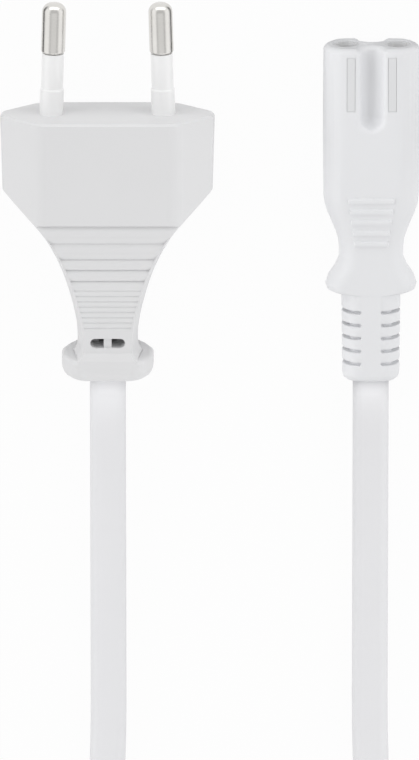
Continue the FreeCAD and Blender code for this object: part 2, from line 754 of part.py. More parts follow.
def leaned(shape):
    # From upright along +Y at the plug face to the right-hand pin's true place and lean
    shape = shape.copy()
    shape.translate(Vector(PLUG_OFFSET_X + PIN_SPACING_FACE / 2, PLUG_FACE_Y, PLUG_AXIS_Z))
    base = Vector(PLUG_OFFSET_X + PIN_SPACING_FACE / 2, PLUG_FACE_Y, PLUG_AXIS_Z)
    shape.rotate(base, AXIS_Z, PIN_LEAN)
    return shape


def spun(edges):
    return Part.Face(Part.Wire(edges)).revolve(Vector(0, 0, 0), AXIS_Y, 360)


def polyline(points):
    return [line(points[i], points[i + 1]) for i in range(len(points) - 1)]


def pin():
    # Turned pin: domed bare end, waist under the sleeve, flange behind the bridge, crimp cup
    waist_end = PIN_LENGTH - PIN_BARE_LENGTH
    flange_front = -(BRIDGE_START + BRIDGE_LENGTH)
    flange_back = flange_front - PIN_FLANGE_LENGTH
    cup_end = flange_back - CUP_LENGTH
    dome = PIN_DOME_RADIUS
    slant = dome * (1 - math.sqrt(0.5))
    dome_start = Vector(PIN_RADIUS - dome, PIN_LENGTH, 0)
    dome_middle = Vector(PIN_RADIUS - slant, PIN_LENGTH - slant, 0)
    dome_end = Vector(PIN_RADIUS, PIN_LENGTH - dome, 0)
    profile = [
        dome_end,
        Vector(PIN_RADIUS, waist_end, 0),
        Vector(PIN_WAIST_RADIUS, waist_end, 0),
        Vector(PIN_WAIST_RADIUS, flange_front, 0),
        Vector(PIN_FLANGE_RADIUS, flange_front, 0),
        Vector(PIN_FLANGE_RADIUS, flange_back, 0),
        Vector(CUP_RADIUS, flange_back, 0),
        Vector(CUP_RADIUS, cup_end, 0),
        Vector(COPPER_RADIUS, cup_end, 0),
        Vector(COPPER_RADIUS, cup_end + CUP_DEPTH, 0),
        Vector(0, cup_end + CUP_DEPTH, 0),
        Vector(0, PIN_LENGTH, 0),
        dome_start,
    ]
    return leaned(spun(polyline(profile) + [arc(dome_start, dome_middle, dome_end)]))


def pin_sleeve():
    # Insulating sleeve moulded on the pin, with a thicker collar at the plug face
    top = PIN_LENGTH - PIN_BARE_LENGTH
    profile = [
        Vector(PIN_WAIST_RADIUS, top, 0),
        Vector(SLEEVE_RADIUS, top, 0),
        Vector(SLEEVE_RADIUS, COLLAR_LENGTH, 0),
        Vector(COLLAR_RADIUS, COLLAR_LENGTH, 0),
        Vector(COLLAR_RADIUS, -BRIDGE_START, 0),
        Vector(PIN_WAIST_RADIUS, -BRIDGE_START, 0),
    ]
    return leaned(spun(polyline(profile + profile[:1])))


def pin_bridge(pins, sleeves):
    section = stadium(PLUG_OFFSET_X, at_plug(BRIDGE_START), PLUG_AXIS_Z, BRIDGE_WIDTH, BRIDGE_THICKNESS)
    return extrude(section, BACK * BRIDGE_LENGTH).cut(Part.makeCompound(pins + sleeves))


def plug_core_points(start):
    # From inside the pin's cup, along its lean, then closing up to the core spacing
    lean = math.radians(PIN_LEAN)
    cup_end = BRIDGE_START + BRIDGE_LENGTH + PIN_FLANGE_LENGTH + CUP_LENGTH

    def on_pin(distance):
        x = PLUG_OFFSET_X + PIN_SPACING_FACE / 2 + distance * math.sin(lean)
        return Vector(x, PLUG_FACE_Y - distance * math.cos(lean), PLUG_AXIS_Z)

    x = PLUG_OFFSET_X + CORE_SPACING / 2
    return [
        on_pin(cup_end + start),
        on_pin(cup_end + PLUG_CORE_STRAIGHT),
        Vector(x, at_plug(PLUG_CORE_JOIN), PLUG_AXIS_Z),
        Vector(x, at_plug(PLUG_SHEATH_START), PLUG_AXIS_Z),
    ]


def plug_core():
    copper = core_solid(plug_core_points(-CUP_DEPTH), COPPER_RADIUS)
    insulation = core_solid(plug_core_points(STRIP_GAP), CORE_RADIUS)
    return copper, insulation.cut(copper), insulation


# Cord runs and coil


def sheath_section(at):
    return rounded_rectangle(at.x, at.y, at.z, SHEATH_WIDTH, SHEATH_THICKNESS, SHEATH_EDGE_RADIUS)


def sheath_stub(exit_point, start_y):
    # The straight end of the sheath inside its housing
    return extrude(sheath_section(exit_point), AXIS_Y * (start_y - exit_point.y))


def cord_run(name, route, start_y, coil):
    # The free run to the coil, joined to the straight end inside the housing
    path, radii = rounded_path(route)
    section = sheath_section(route[0])
    run = swept(path, section)
    expected = Part.Face(section).Area * path.Length
    print(name, "arc radii", [round(r, 1) for r in radii], "length", round(path.Length, 1),
          "volume", round(run.Volume, 1), "of", round(expected, 1))
    return run.fuse(sheath_stub(route[0], start_y)).removeSplitter().cut(coil)


def cord_coil():
    # The outer shape of the whole coil, as one ring
    inner = COIL_INNER_TURN_RADIUS - SHEATH_THICKNESS / 2
    outer = COIL_OUTER_TURN_RADIUS + SHEATH_THICKNESS / 2
    height = COIL_LAYERS * SHEATH_WIDTH
    chamfer = COIL_EDGE_CHAMFER
    corners = [
        Vector(inner, 0, chamfer), Vector(inner + chamfer, 0, 0),
        Vector(outer - chamfer, 0, 0), Vector(outer, 0, chamfer),
        Vector(outer, 0, height - chamfer), Vector(outer - chamfer, 0, height),
        Vector(inner + chamfer, 0, height), Vector(inner, 0, height - chamfer),
    ]
    section = Part.makePolygon(corners + corners[:1])
    ring = Part.Face(section).revolve(Vector(0, 0, 0), AXIS_Z, 360)
    ring.translate(Vector(PLUG_OFFSET_X / 2, COIL_CENTRE_Y, 0))
    return ring


def lead():
    nodes = {}
    coil = cord_coil()
    nodes["cord_coil"] = coil
    nodes["cord_connector_run"] = cord_run(
        "connector run", CONNECTOR_ROUTE, at_connector(CONNECTOR_SHEATH_START), coil)
    nodes["cord_plug_run"] = cord_run("plug run", PLUG_ROUTE, at_plug(PLUG_SHEATH_START), coil)

    # Connector end
    right_contact = contact()
    copper, insulation, core = connector_core()
    nodes["contact_right"] = right_contact
    nodes["contact_left"] = mirrored(right_contact, 0)
    nodes["connector_conductor_right"] = copper
    nodes["connector_conductor_left"] = mirrored(copper, 0)
    nodes["connector_wire_right"] = insulation
    nodes["connector_wire_left"] = mirrored(insulation, 0)
    nodes["contact_carrier"] = carrier_outer().cut(Part.makeCompound(carrier_bores()))
    stub = sheath_stub(CONNECTOR_ROUTE[0], at_connector(CONNECTOR_SHEATH_START))
    nodes["connector_body"] = connector_outer().cut([carrier_outer(PAST), core, mirrored(core, 0), stub])

    # Plug end
    right_pin = pin()
    right_sleeve = pin_sleeve()
    pins = [right_pin, mirrored(right_pin, PLUG_OFFSET_X)]
    sleeves = [right_sleeve, mirrored(right_sleeve, PLUG_OFFSET_X)]
    copper, insulation, core = plug_core()
    bridge = pin_bridge(pins, sleeves)
    nodes["pin_right"], nodes["pin_left"] = pins
    nodes["pin_sleeve_right"], nodes["pin_sleeve_left"] = sleeves
    nodes["pin_bridge"] = bridge
    nodes["plug_conductor_right"] = copper
    nodes["plug_conductor_left"] = mirrored(copper, PLUG_OFFSET_X)
    nodes["plug_wire_right"] = insulation
    nodes["plug_wire_left"] = mirrored(insulation, PLUG_OFFSET_X)
    stub = sheath_stub(PLUG_ROUTE[0], at_plug(PLUG_SHEATH_START))
    copper_left = mirrored(copper, PLUG_OFFSET_X)
    inside = pins + sleeves + [bridge, core, mirrored(core, PLUG_OFFSET_X), copper, copper_left, stub]
    nodes["plug_body"] = plug_outer().cut(inside)
    return nodes


def main():
    os.makedirs("parts", exist_ok=True)
    for name, shape in lead().items():
        print(name, shape.isValid(), len(shape.Solids), round(shape.Volume, 2))
        shape.exportStep("parts/" + name + ".step")


main()
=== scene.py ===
import math

import bmesh
import bpy
from mathutils import Matrix, Vector


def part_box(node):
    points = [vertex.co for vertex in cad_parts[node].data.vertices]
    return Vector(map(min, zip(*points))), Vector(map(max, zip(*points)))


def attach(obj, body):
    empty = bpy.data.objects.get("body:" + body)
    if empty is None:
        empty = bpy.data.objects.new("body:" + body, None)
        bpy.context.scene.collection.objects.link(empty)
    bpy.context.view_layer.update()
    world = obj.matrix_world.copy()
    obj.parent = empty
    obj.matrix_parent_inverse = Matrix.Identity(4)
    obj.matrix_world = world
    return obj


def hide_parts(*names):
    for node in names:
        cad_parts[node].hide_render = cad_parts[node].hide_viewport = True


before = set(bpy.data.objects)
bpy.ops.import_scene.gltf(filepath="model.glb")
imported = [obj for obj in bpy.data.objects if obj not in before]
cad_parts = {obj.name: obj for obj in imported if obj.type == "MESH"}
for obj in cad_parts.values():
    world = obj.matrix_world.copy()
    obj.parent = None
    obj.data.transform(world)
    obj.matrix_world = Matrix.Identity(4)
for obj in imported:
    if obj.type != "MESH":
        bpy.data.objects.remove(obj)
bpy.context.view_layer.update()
print("frame loaded")

mm = 0.001  # the script's own lengths are written in millimetres
onPlane = 0.02  # a point this near to a plane lies on it
xAxis = Vector((1, 0, 0))
yAxis = Vector((0, 1, 0))
zAxis = Vector((0, 0, 1))
hands = {"left": -1, "right": 1}  # which way along X each side lies


# Camera, world and lamps

cameraSettings = {
    "tilt": 17.2,  # degrees from straight down, towards the sockets
    "target": (-26.88, -29.1, 5.0),
    "distance": 3000.0,
    "viewHeight": 126.67,  # what the picture's height takes in at the target
    "sensor": 36.0,
    "nearest": 50.0,
    "farthest": 20000.0,
}

leadMiddle = (-24.0, -20.0, 5.0)
# place, aim, width and height of the big boxes at the two sides
leftBox = ((-460.0, -20.0, 200.0), leadMiddle, 900.0, 400.0)
rightBox = ((420.0, -20.0, 200.0), leadMiddle, 900.0, 400.0)

lampSettings = {
    "worldTowardsCord": 0.58,
    "worldTowardsPins": 0.66,
    # name, place, aim, width, height, power, the part of the lead that it lights
    "lamps": [
        ("softboxLeft", *leftBox, 1.06, "plastics"),
        ("softboxRight", *rightBox, 1.06, "plastics"),
        ("softboxFront", (-24.0, 420.0, 150.0), leadMiddle, 700.0, 260.0, 0.74, "plugEnd"),
        ("softboxFrontLeft", (-200.0, 370.0, 200.0), leadMiddle, 400.0, 280.0, 0.28, "connectorEnd"),
        ("softboxSide", (-330.0, -10.0, 240.0), (0.0, -10.0, 5.0), 400.0, 240.0, 0.14, "connectorEnd"),
        ("softboxRear", (30.0, -400.0, 200.0), leadMiddle, 400.0, 280.0, 0.46, "plugEnd"),
        ("softboxCord", (-24.0, -330.0, 330.0), leadMiddle, 700.0, 280.0, 0.5, "cordEnd"),
        # the pins mirror the side boxes, so theirs are dimmer
        ("metalLeft", *leftBox, 0.55, "pinEnds"),
        ("metalRight", *rightBox, 0.55, "pinEnds"),
        ("metalTop", (-44.0, -130.0, 420.0), (-44.0, 32.0, 7.0), 420.0, 420.0, 0.12, "pinEnds"),
        # small fills for the cord in the shade of each housing's end
        ("fillPlug", (-43.8, -28.0, 14.6), (-43.8, -28.0, 0.0), 7.0, 2.0, 0.0001, "cordEnd"),
        ("fillBoot", (0.0, -29.3, 9.4), (0.0, -29.3, 0.0), 6.0, 2.0, 0.00005, "cordEnd"),
    ],
}

# What each lamp lights; the pieces are linked in once they are all made
litParts = {name: bpy.data.collections.new(name)
            for name in ("plastics", "connectorEnd", "plugEnd", "pinEnds", "cordEnd")}


def makeCamera(settings):
    tilt = math.radians(settings["tilt"])
    back = Vector((0, math.sin(tilt), math.cos(tilt)))
    data = bpy.data.cameras.new("photoCamera")
    data.sensor_width = settings["sensor"]
    data.lens = settings["sensor"] * settings["distance"] / settings["viewHeight"]
    data.clip_start = settings["nearest"] * mm
    data.clip_end = settings["farthest"] * mm
    camera = bpy.data.objects.new("photoCamera", data)
    camera.location = (Vector(settings["target"]) + back * settings["distance"]) * mm
    camera.rotation_euler = (-tilt, 0, 0)
    bpy.context.scene.collection.objects.link(camera)
    bpy.context.scene.camera = camera


def makeWorld(settings):
    # Even white light, a little stronger from the side that the pins point to
    world = bpy.data.worlds.new("studio")
    world.use_nodes = True
    tree = world.node_tree
    sky = tree.nodes["Background"]
    sky.inputs["Color"].default_value = (1, 1, 1, 1)
    direction = tree.nodes.new("ShaderNodeTexCoord")
    parts = tree.nodes.new("ShaderNodeSeparateXYZ")
    strength = tree.nodes.new("ShaderNodeMapRange")
    strength.inputs["From Min"].default_value = -1
    strength.inputs["To Min"].default_value = settings["worldTowardsCord"]
    strength.inputs["To Max"].default_value = settings["worldTowardsPins"]
    tree.links.new(direction.outputs["Generated"], parts.inputs["Vector"])
    tree.links.new(parts.outputs["Y"], strength.inputs["Value"])
    tree.links.new(strength.outputs["Result"], sky.inputs["Strength"])
    bpy.context.scene.world = world


def makeLamps(settings):
    for name, place, aim, width, height, power, part in settings["lamps"]:
        data = bpy.data.lights.new(name, "AREA")
        data.shape = "RECTANGLE"
        data.size = width * mm
        data.size_y = height * mm
        data.energy = power
        lamp = bpy.data.objects.new(name, data)
        lamp.location = Vector(place) * mm
        lamp.rotation_euler = (Vector(aim) - Vector(place)).to_track_quat("-Z", "Y").to_euler()
        bpy.context.scene.collection.objects.link(lamp)
        lamp.light_linking.receiver_collection = litParts[part]


makeCamera(cameraSettings)
makeWorld(lampSettings)
makeLamps(lampSettings)
bpy.context.scene.view_settings.view_transform = "Standard"
print("camera and lamps placed")


# Materials

plasticNoise = {
    "cloud": {"Detail": 3.0, "Roughness": 0.55},
    "grain": {"Detail": 4.0, "Roughness": 0.6},
    "grainHeight": 0.02,
}

metalNoise = {
    "rings": {"Scale": 1.0, "Detail": 5.0, "Roughness": 0.7},
    "stains": {"Detail": 3.0},
    "ringHeight": 0.02,
    "glossLeast": 0.7,  # shares of the roughness that the rings run between
    "glossMost": 1.4,
}

plasticLooks = {
    "connector": {
        "colour": (0.845, 0.85, 0.866), "shade": (0.82, 0.825, 0.84), "ior": 1.5, "roughness": 0.46,
        "glossSpread": 0.05, "cloudScale": 90.0, "grainScale": 2600.0, "grainStrength": 0.25,
    },
    "carrier": {
        "colour": (0.79, 0.795, 0.805), "shade": (0.765, 0.77, 0.78), "ior": 1.52, "roughness": 0.38,
        "glossSpread": 0.04, "cloudScale": 120.0, "grainScale": 3200.0, "grainStrength": 0.12,
    },
    "plug": {
        "colour": (0.725, 0.725, 0.732), "shade": (0.70, 0.70, 0.707), "ior": 1.5, "roughness": 0.48,
        "glossSpread": 0.05, "cloudScale": 80.0, "grainScale": 2600.0, "grainStrength": 0.28,
    },
    "sheath": {
        "colour": (0.775, 0.775, 0.79), "shade": (0.75, 0.75, 0.765), "ior": 1.5, "roughness": 0.42,
        "glossSpread": 0.04, "cloudScale": 110.0, "grainScale": 1800.0, "grainStrength": 0.12,
    },
    "sleeve": {
        "colour": (0.875, 0.875, 0.875), "shade": (0.855, 0.855, 0.855), "ior": 1.52, "roughness": 0.3,
        "glossSpread": 0.04, "cloudScale": 150.0, "grainScale": 3000.0, "grainStrength": 0.06,
    },
    "insulation": {
        "colour": (0.10, 0.22, 0.50), "shade": (0.09, 0.19, 0.45), "ior": 1.5, "roughness": 0.4,
        "glossSpread": 0.04, "cloudScale": 150.0, "grainScale": 3000.0, "grainStrength": 0.06,
    },
}

metalLooks = {
    "pin": {
        "colour": (0.77, 0.755, 0.73), "shade": (0.70, 0.685, 0.66), "roughness": 0.24,
        "bump": 0.15, "ringScale": (60.0, 9000.0, 60.0), "stainScale": 300.0,
    },
    "contact": {
        "colour": (0.72, 0.62, 0.42), "shade": (0.6, 0.5, 0.33), "roughness": 0.3,
        "bump": 0.1, "ringScale": (900.0, 90.0, 900.0), "stainScale": 300.0,
    },
    "copper": {
        "colour": (0.78, 0.42, 0.27), "shade": (0.66, 0.33, 0.2), "roughness": 0.35,
        "bump": 0.3, "ringScale": (6000.0, 400.0, 6000.0), "stainScale": 300.0,
    },
}


def newMaterial(name):
    material = bpy.data.materials.new(name)
    material.use_nodes = True
    tree = material.node_tree
    return material, tree, tree.nodes["Principled BSDF"]


def addNode(tree, kind, **values):
    node = tree.nodes.new(kind)
    for key, value in values.items():
        if key in node.inputs:
            node.inputs[key].default_value = value
        else:
            setattr(node, key, value)
    return node


def colourOf(values):
    return (*values, 1.0)


def varyColour(tree, shader, factor, settings):
    tint = addNode(tree, "ShaderNodeMix", data_type="RGBA")
    shadeSocket, colourSocket = tint.inputs[6], tint.inputs[7]
    shadeSocket.default_value = colourOf(settings["shade"])
    colourSocket.default_value = colourOf(settings["colour"])
    tree.links.new(factor, tint.inputs["Factor"])
    tree.links.new(tint.outputs[2], shader.inputs["Base Color"])


def varyGloss(tree, shader, factor, least, most):
    gloss = addNode(tree, "ShaderNodeMapRange", **{"To Min": least, "To Max": most})
    tree.links.new(factor, gloss.inputs["Value"])
    tree.links.new(gloss.outputs["Result"], shader.inputs["Roughness"])


def addBump(tree, shader, relief, strength, height):
    bump = addNode(tree, "ShaderNodeBump", Strength=strength, Distance=height * mm)
    tree.links.new(relief, bump.inputs["Height"])
    tree.links.new(bump.outputs["Normal"], shader.inputs["Normal"])


def mouldedPlastic(name, settings):
    # Fine moulded texture, faint cloudiness in the colour and a little wear in the gloss
    material, tree, shader = newMaterial(name)
    place = addNode(tree, "ShaderNodeTexCoord")
    cloud = addNode(tree, "ShaderNodeTexNoise", Scale=settings["cloudScale"], **plasticNoise["cloud"])
    grain = addNode(tree, "ShaderNodeTexNoise", Scale=settings["grainScale"], **plasticNoise["grain"])
    tree.links.new(place.outputs["Object"], cloud.inputs["Vector"])
    tree.links.new(place.outputs["Object"], grain.inputs["Vector"])
    roughness, spread = settings["roughness"], settings["glossSpread"]
    varyColour(tree, shader, cloud.outputs["Fac"], settings)
    varyGloss(tree, shader, cloud.outputs["Fac"], roughness - spread, roughness + spread)
    addBump(tree, shader, grain.outputs["Fac"], settings["grainStrength"], plasticNoise["grainHeight"])
    shader.inputs["IOR"].default_value = settings["ior"]
    return material


def turnedMetal(name, settings):
    # Plated and turned: fine rings round the axis, which lies near Y, and faint stains
    material, tree, shader = newMaterial(name)
    place = addNode(tree, "ShaderNodeTexCoord")
    stretch = addNode(tree, "ShaderNodeMapping", Scale=settings["ringScale"])
    rings = addNode(tree, "ShaderNodeTexNoise", **metalNoise["rings"])
    stains = addNode(tree, "ShaderNodeTexNoise", Scale=settings["stainScale"], **metalNoise["stains"])
    tree.links.new(place.outputs["Object"], stretch.inputs["Vector"])
    tree.links.new(stretch.outputs["Vector"], rings.inputs["Vector"])
    tree.links.new(place.outputs["Object"], stains.inputs["Vector"])
    roughness = settings["roughness"]
    varyColour(tree, shader, stains.outputs["Fac"], settings)
    varyGloss(tree, shader, rings.outputs["Fac"],
              roughness * metalNoise["glossLeast"], roughness * metalNoise["glossMost"])
    addBump(tree, shader, rings.outputs["Fac"], settings["bump"], metalNoise["ringHeight"])
    shader.inputs["Metallic"].default_value = 1.0
    return material


def matt(name, settings):
    material, tree, shader = newMaterial(name)
    shader.inputs["Base Color"].default_value = colourOf(settings["colour"])
    shader.inputs["Roughness"].default_value = settings["roughness"]
    return material, tree, shader


plastics = {name: mouldedPlastic(name + "Plastic", look) for name, look in plasticLooks.items()}
metals = {name: turnedMetal(name + "Metal", look) for name, look in metalLooks.items()}
print("materials made")


# Helpers for the pieces

def newPiece(name, shape, material):
    # A bmesh becomes a finished object at the origin
    mesh = bpy.data.meshes.new(name)
    shape.normal_update()
    shape.to_mesh(mesh)
    shape.free()
    mesh.shade_smooth()
    mesh.materials.append(material)
    piece = bpy.data.objects.new(name, mesh)
    bpy.context.scene.collection.objects.link(piece)
    return piece


def joinLead(piece, slotName, *nodes):
    # The piece rides on the lead and stands for the solids that it redraws
    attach(piece, "root")
    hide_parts(*nodes)


def evenShading(piece):
    # Flat faces look flat, and only the roundings between them shade over
    normals = piece.modifiers.new("faceNormals", "WEIGHTED_NORMAL")
    normals.keep_sharp = True


def bevelEdges(shape, edges, size, segments):
    bmesh.ops.bevel(shape, geom=edges, affect="EDGES", offset=size * mm, offset_type="OFFSET",
                    segments=segments, profile=0.5, material=-1, clamp_overlap=True)


def roundEdges(shape, finish):
    sharp = math.radians(finish["sharpAngle"])
    edges = [edge for edge in shape.edges if len(edge.link_faces) == 2 and edge.calc_face_angle() > sharp]
    bevelEdges(shape, edges, finish["round"], finish["segments"])


def easeInOut(share):
    # From 0 to 1 with a soft start and a soft end
    share = min(max(share, 0.0), 1.0)
    return share * share * (3 - 2 * share)


# Floor: white to the camera and to gloss, with the object's shadow left on it

floorSettings = {"size": 6000.0, "colour": (0.62, 0.62, 0.62), "roughness": 0.9, "white": 0.96, "drop": 0.02}


def makeFloor(settings):
    shape = bmesh.new()
    bmesh.ops.create_grid(shape, x_segments=1, y_segments=1, size=settings["size"] / 2 * mm)
    bmesh.ops.translate(shape, verts=shape.verts, vec=-zAxis * settings["drop"] * mm)
    material, tree, shader = matt("floorPaper", settings)
    glow = addNode(tree, "ShaderNodeEmission", Strength=1.0)
    ray = addNode(tree, "ShaderNodeLightPath")
    seen = addNode(tree, "ShaderNodeMath", operation="MAXIMUM")
    anySeen = addNode(tree, "ShaderNodeMath", operation="MAXIMUM")
    share = addNode(tree, "ShaderNodeMath", operation="MULTIPLY")
    share.inputs[1].default_value = settings["white"]
    mix = addNode(tree, "ShaderNodeMixShader")
    link = tree.links.new
    link(ray.outputs["Is Camera Ray"], seen.inputs[0])
    link(ray.outputs["Is Glossy Ray"], seen.inputs[1])
    link(seen.outputs[0], anySeen.inputs[0])
    link(ray.outputs["Is Transmission Ray"], anySeen.inputs[1])
    link(anySeen.outputs[0], share.inputs[0])
    link(share.outputs[0], mix.inputs["Fac"])
    link(shader.outputs["BSDF"], mix.inputs[1])
    link(glow.outputs["Emission"], mix.inputs[2])
    link(mix.outputs["Shader"], tree.nodes["Material Output"].inputs["Surface"])
    piece = newPiece("floor", shape, material)
    return piece


floor = makeFloor(floorSettings)


# Dark flags that only gloss sees, lying on the floor beside the pins: painted shade in the pins'
# reflections, where the floor would lie in shade; they give the bright pins their thin dark lines

flagSettings = {
    # the darkness of the painted shade that the pins reflect
    "colour": (0.05, 0.05, 0.05),
    "roughness": 0.9,
    "centres": [(-83.0, 36.0, -0.01), (-4.6, 36.0, -0.01)],  # one on each side of the pins
    "width": 34.0,
    "length": 46.0,
}


def makeFlags(settings):
    material = matt("paintedShadeFlag", settings)[0]
    for i, centre in enumerate(settings["centres"]):
        shape = bmesh.new()
        bmesh.ops.create_grid(shape, x_segments=1, y_segments=1, size=mm / 2)
        bmesh.ops.scale(shape, verts=shape.verts, vec=(settings["width"], settings["length"], 1))
        bmesh.ops.translate(shape, verts=shape.verts, vec=Vector(centre) * mm)
        flag = newPiece("flag" + str(i), shape, material)
        # painted shade for reflections alone: no camera ray, diffuse light or shadow sees the flags
        flag.visible_camera = False
        flag.visible_diffuse = False
        flag.visible_shadow = False


makeFlags(flagSettings)
print("floor and flags laid")


# The cord: one flat two-core length from the connector, round its coil and up to the plug

cordSettings = {
    "length": 1.5,  # metres
    "width": 6.0,
    "thickness": 3.55,
    "edgeRadius": 1.68,
    "edgeSteps": 6,
    "connectorPoints": [(0.0, -29.0, 4.0), (0.0, -42.0, 4.0), (0.0, -68.0, 1.775), (0.0, -104.0, 1.8),
                        (3.9, -122.1, 3.1)],
    "plugPoints": [(-47.7, -122.1, 4.6), (-43.8, -104.0, 1.775), (-43.8, -69.0, 1.775),
                   (-43.8, -41.0, 6.85), (-43.8, -27.2, 6.85)],
    "stepsPerPoint": 6,
    "flatUntil": 78.0,  # length from each end along which the cord lies flat
    "onEdgeFrom": 106.0,
}

coilSettings = {
    "centre": (-21.9, -150.0),
    "outerRadius": 36.2,
    "innerRadius": 24.2,
    "turns": 6.64,
    "startAngle": 25.0,
    "pointsPerTurn": 18,
    "layers": (3.0, 9.0),
    "climbTurns": 0.35,
}


def coilPoints(settings):
    # In along the lower layer and out along the upper one, clockwise seen from above
    count = round(settings["turns"] * settings["pointsPerTurn"])
    centreX, centreY = settings["centre"]
    outer, inner = settings["outerRadius"], settings["innerRadius"]
    low, high = settings["layers"]
    draw = 1 / math.cos(math.pi / settings["pointsPerTurn"])  # the spline runs inside its points
    points = []
    for i in range(count + 1):
        turned = settings["turns"] * i / count
        angle = math.radians(settings["startAngle"] - 360 * turned)
        inwards = 1 - abs(2 * i / count - 1)
        radius = draw * (outer + (inner - outer) * inwards)
        climb = easeInOut((turned - settings["turns"] / 2) / settings["climbTurns"] + 0.5)
        points.append((centreX + radius * math.cos(angle), centreY + radius * math.sin(angle),
                       low + (high - low) * climb))
    return points


def splineLine(name, points, steps):
    # Points along the smooth spline that follows the route, as Blender itself works them out
    curve = bpy.data.curves.new(name, "CURVE")
    curve.dimensions = "3D"
    spline = curve.splines.new("NURBS")
    spline.points.add(len(points) - 1)
    for i, (x, y, z) in enumerate(points):
        spline.points[i].co = (x * mm, y * mm, z * mm, 1)
    spline.order_u = 3
    spline.use_endpoint_u = True
    spline.resolution_u = steps
    holder = bpy.data.objects.new(name, curve)
    mesh = bpy.data.meshes.new_from_object(holder)
    line = [vert.co.copy() for vert in mesh.vertices]
    bpy.data.objects.remove(holder)
    bpy.data.meshes.remove(mesh)
    return line


def cordSection(settings):
    # Closed outline of the flat sheath, width across and thickness up
    radius, steps = settings["edgeRadius"], settings["edgeSteps"]
    halfWidth = settings["width"] / 2 - radius
    halfThick = settings["thickness"] / 2 - radius
    section = []
    for corner, (side, up) in enumerate(((1, 1), (-1, 1), (-1, -1), (1, -1))):
        for step in range(steps + 1):
            angle = math.radians(90 * (corner + step / steps))
            section.append((side * halfWidth + radius * math.cos(angle),
                            up * halfThick + radius * math.sin(angle)))
    return section


def sectionAxes(line, i, turn):
    # Which way the cord's width and thickness lie at one point of its line, turned on edge by turn
    tangent = (line[min(i + 1, len(line) - 1)] - line[max(i - 1, 0)]).normalized()
    side = tangent.cross(zAxis).normalized()
    up = side.cross(tangent).normalized()
    return side * math.cos(turn) + up * math.sin(turn), up * math.cos(turn) - side * math.sin(turn)


def makeCord(settings, coil):
    # A tube along the route's spline: one outline at each point, joined by faces and closed at both ends
    route = settings["connectorPoints"] + coilPoints(coil) + settings["plugPoints"]
    line = splineLine("cordRoute", route, settings["stepsPerPoint"])
    along = [0.0]
    for start, end in zip(line, line[1:]):
        along.append(along[-1] + (end - start).length)
    section = cordSection(settings)
    shape = bmesh.new()
    rings = []
    for i, point in enumerate(line):
        fromEnd = min(along[i], along[-1] - along[i]) / mm
        onEdge = (fromEnd - settings["flatUntil"]) / (settings["onEdgeFrom"] - settings["flatUntil"])
        wide, thick = sectionAxes(line, i, math.pi / 2 * easeInOut(onEdge))
        rings.append([shape.verts.new(point + wide * u * mm + thick * v * mm) for u, v in section])
    for near, far in zip(rings, rings[1:]):
        for j in range(len(section)):
            k = (j + 1) % len(section)
            shape.faces.new((near[j], near[k], far[k], far[j]))
    shape.faces.new(rings[0])
    shape.faces.new(reversed(rings[-1]))
    bmesh.ops.recalc_face_normals(shape, faces=shape.faces)
    return newPiece("cord", shape, plastics["sheath"]), line


cord, cordLine = makeCord(cordSettings, coilSettings)
joinLead(cord, "cord_sheath", "cord_connector_run", "cord_coil", "cord_plug_run")
print("cord laid")


# Housings: merged copies of their solids, softened where the mould is soft

housingFinish = {"weld": 0.002, "flatAngle": 1.0, "sharpAngle": 24.0, "round": 0.12, "segments": 2}

connectorShape = {
    # along the connector, from its front face
    "frontLength": 1.6,
    "barFirst": 26.1,
    "barPitch": 1.86,
    "barCount": 5,
    "barLength": 0.85,
    "wingEnd": 43.4,
    "slotFirst": 45.7,
    "slotPitch": 2.25,
    "slotCount": 5,
    "slotLength": 0.65,
    # the front edge, outside the sockets
    "frontRound": 0.3,
    "socketHalf": 4.3,
    "socketRadius": 2.5,
    # grip bars
    "barHeight": 0.165,  # down to where the bars' rounded ends start
    "barLift": 0.14,
    "barSlope": 0.32,
    "barHalfWidth": 4.0,
    # the last stretch of the wings, drawn together
    "wingSqueeze": 1.2,
    "wingShare": 0.45,
    # the slots' rear lips
    "lipRound": 0.34,
    "lipSegments": 3,
    "lipAngle": 30.0,
    "lipInside": 3.6,  # half the width and height of the core that the slots stop at
    "lipInsideHeight": 2.4,
}

plugShape = {
    "flangeFront": 41.2,  # from the pin face
    "flangeDepth": 5.0,
    "cutGap": 0.001,  # a point this near to a cut isn't cut again
    "rimRound": 0.7,
    "rimSteps": 5,
    "rimFrom": 4.8,  # from the plug's middle: the rounding grows between these two
    "rimFull": 6.0,
    "cornerRadius": 2.4,
    "cornerAt": 4.2,
    "cornerTop": 6.55,
    "cornerStart": 0.05,  # behind the flange's front
    "cornerEnd": 1.1,
    "cornerCuts": [4.2, 4.9, 5.5],
}

carrierShape = {
    "ribTaper": 0.035,
    "ribTop": 3.85,  # from the middle of the connector's thickness
}


def finishedCopy(node, name, material, finish, reshape):
    # Flat faces are made whole, the form is softened and its sharp edges are rounded
    shape = bmesh.new()
    shape.from_mesh(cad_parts[node].data)
    bmesh.ops.remove_doubles(shape, verts=shape.verts, dist=finish["weld"] * mm)
    bmesh.ops.dissolve_limit(shape, angle_limit=math.radians(finish["flatAngle"]),
                             verts=shape.verts, edges=shape.edges)
    reshape(shape)
    roundEdges(shape, finish)
    piece = newPiece(name, shape, material)
    evenShading(piece)
    return piece


def frontAndMiddle(node):
    # The place of a piece's front along Y, and the middle of its width and of its thickness
    low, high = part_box(node)
    return high[1], (low[0] + high[0]) / 2, (low[2] + high[2]) / 2


def drawIn(shape, amountAt):
    # Each point moves inwards, square to the lead, by what amountAt gives for its place
    leastOutward = 0.1  # a face that looks along the lead has no side to move to
    shape.normal_update()
    for vert in shape.verts:
        amount = amountAt(vert.co)
        outward = Vector((vert.normal.x, 0, vert.normal.z))
        if amount > 0 and outward.length > leastOutward:
            vert.co -= outward.normalized() * amount


